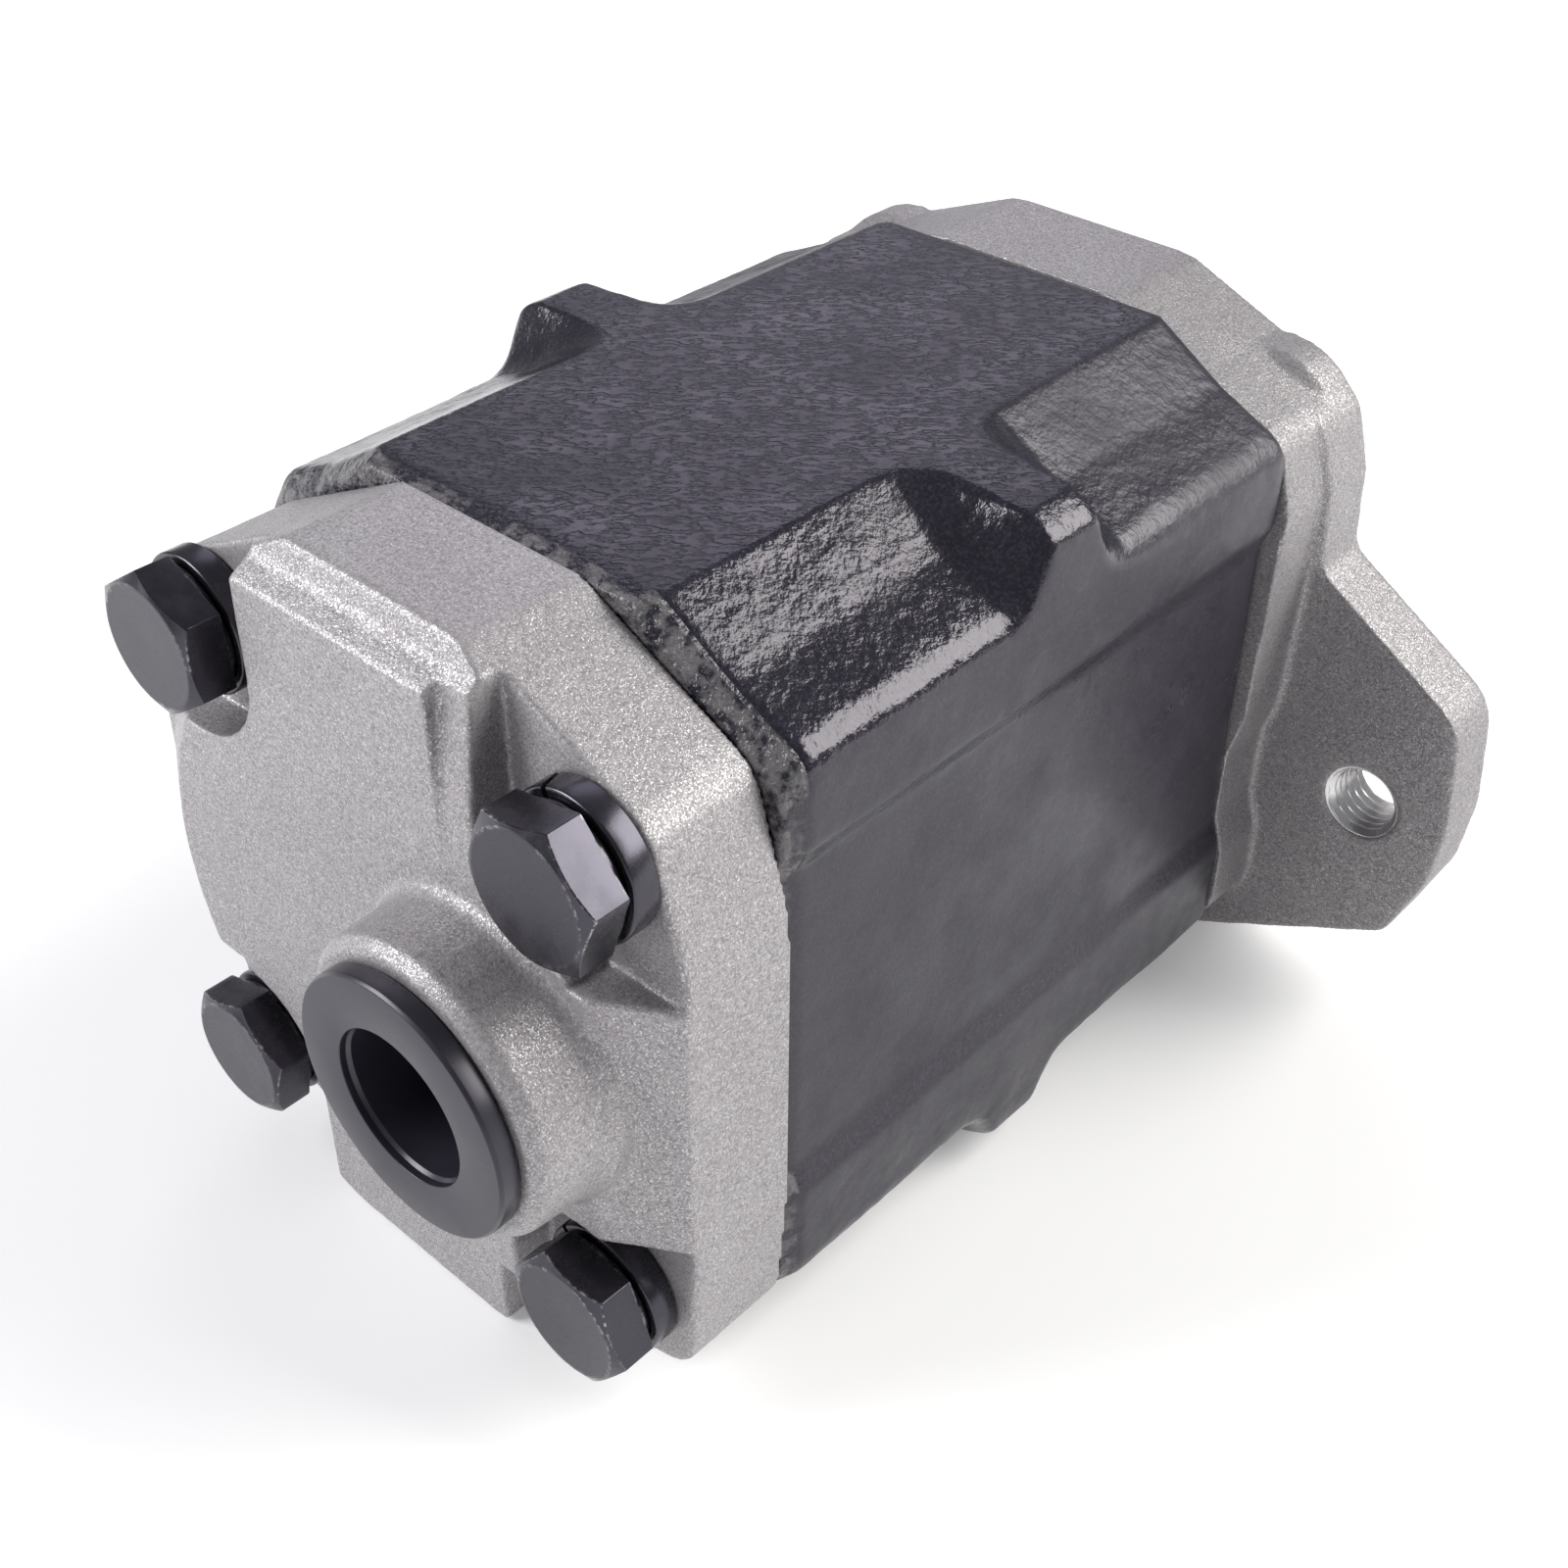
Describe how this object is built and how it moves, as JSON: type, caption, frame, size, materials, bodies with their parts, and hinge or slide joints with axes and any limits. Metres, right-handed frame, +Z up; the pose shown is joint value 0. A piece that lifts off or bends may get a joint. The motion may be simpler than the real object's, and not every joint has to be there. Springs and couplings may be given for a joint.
{
  "type": "hydraulic gear pump",
  "caption": "External gear pump: gear housing between a rear cover with a plugged suction port and a two-ear mounting flange, through bolts, meshing gears on a keyed shaft.",
  "frame": {"origin": "middle of the bounding box in plan, on the plane of the lowest casing faces", "axes": "+Y along the shafts from the rear cover to the mounting face, +X toward the right ear seen from the rear cover, +Z up"},
  "size_m": [0.1654, 0.2076, 0.116],
  "materials": {
    "cast_aluminium": "sand-blasted casting, machined joint faces",
    "black_paint": "gloss black paint on cast iron, satin on the milled faces",
    "black_steel": "black oxide",
    "black_plastic": "satin moulded polyethylene",
    "gear_steel": "ground steel",
    "bearing_bronze": "bronze bearing lining",
    "seal_rubber": "moulded nitrile"
  },
  "bodies": {
    "housing": {"rear_cover": "cast_aluminium", "gear_housing": "black_paint", "mounting_flange": "cast_aluminium", "through_bolt_upper_right": "black_steel", "through_bolt_upper_left": "black_steel", "through_bolt_lower_right": "black_steel", "through_bolt_lower_left": "black_steel", "lock_washer_upper_right": "black_steel", "lock_washer_upper_left": "black_steel", "lock_washer_lower_right": "black_steel", "lock_washer_lower_left": "black_steel", "rear_dowel_lower": "gear_steel", "rear_dowel_upper": "gear_steel", "front_dowel_lower": "gear_steel", "front_dowel_upper": "gear_steel", "suction_port_plug": "black_plastic", "pressure_port_plug": "black_plastic", "rear_bearing_block": "cast_aluminium", "rear_drive_bush": "bearing_bronze", "rear_driven_bush": "bearing_bronze", "rear_balance_seal": "seal_rubber", "front_bearing_block": "cast_aluminium", "front_drive_bush": "bearing_bronze", "front_driven_bush": "bearing_bronze", "front_balance_seal": "seal_rubber", "rear_body_seal": "seal_rubber", "front_body_seal": "seal_rubber", "shaft_seal": "seal_rubber", "seal_retaining_ring": "black_steel"},
    "drive_rotor": {"drive_gear_shaft": "gear_steel", "shaft_key": "gear_steel"},
    "driven_rotor": {"driven_gear_shaft": "gear_steel"}
  },
  "joints": [
    {"name": "drive_spin", "type": "hinge", "parent": "housing", "child": "drive_rotor", "pos_m": [0, 0, 0.041], "axis": [0, 1, 0], "continuous": true},
    {"name": "driven_spin", "type": "hinge", "parent": "housing", "child": "driven_rotor", "pos_m": [0, 0, 0.075], "axis": [0, 1, 0], "continuous": true}
  ],
  "couplings": [
    {"joint": "driven_spin", "follows": "drive_spin", "ratio": -1}
  ]
}
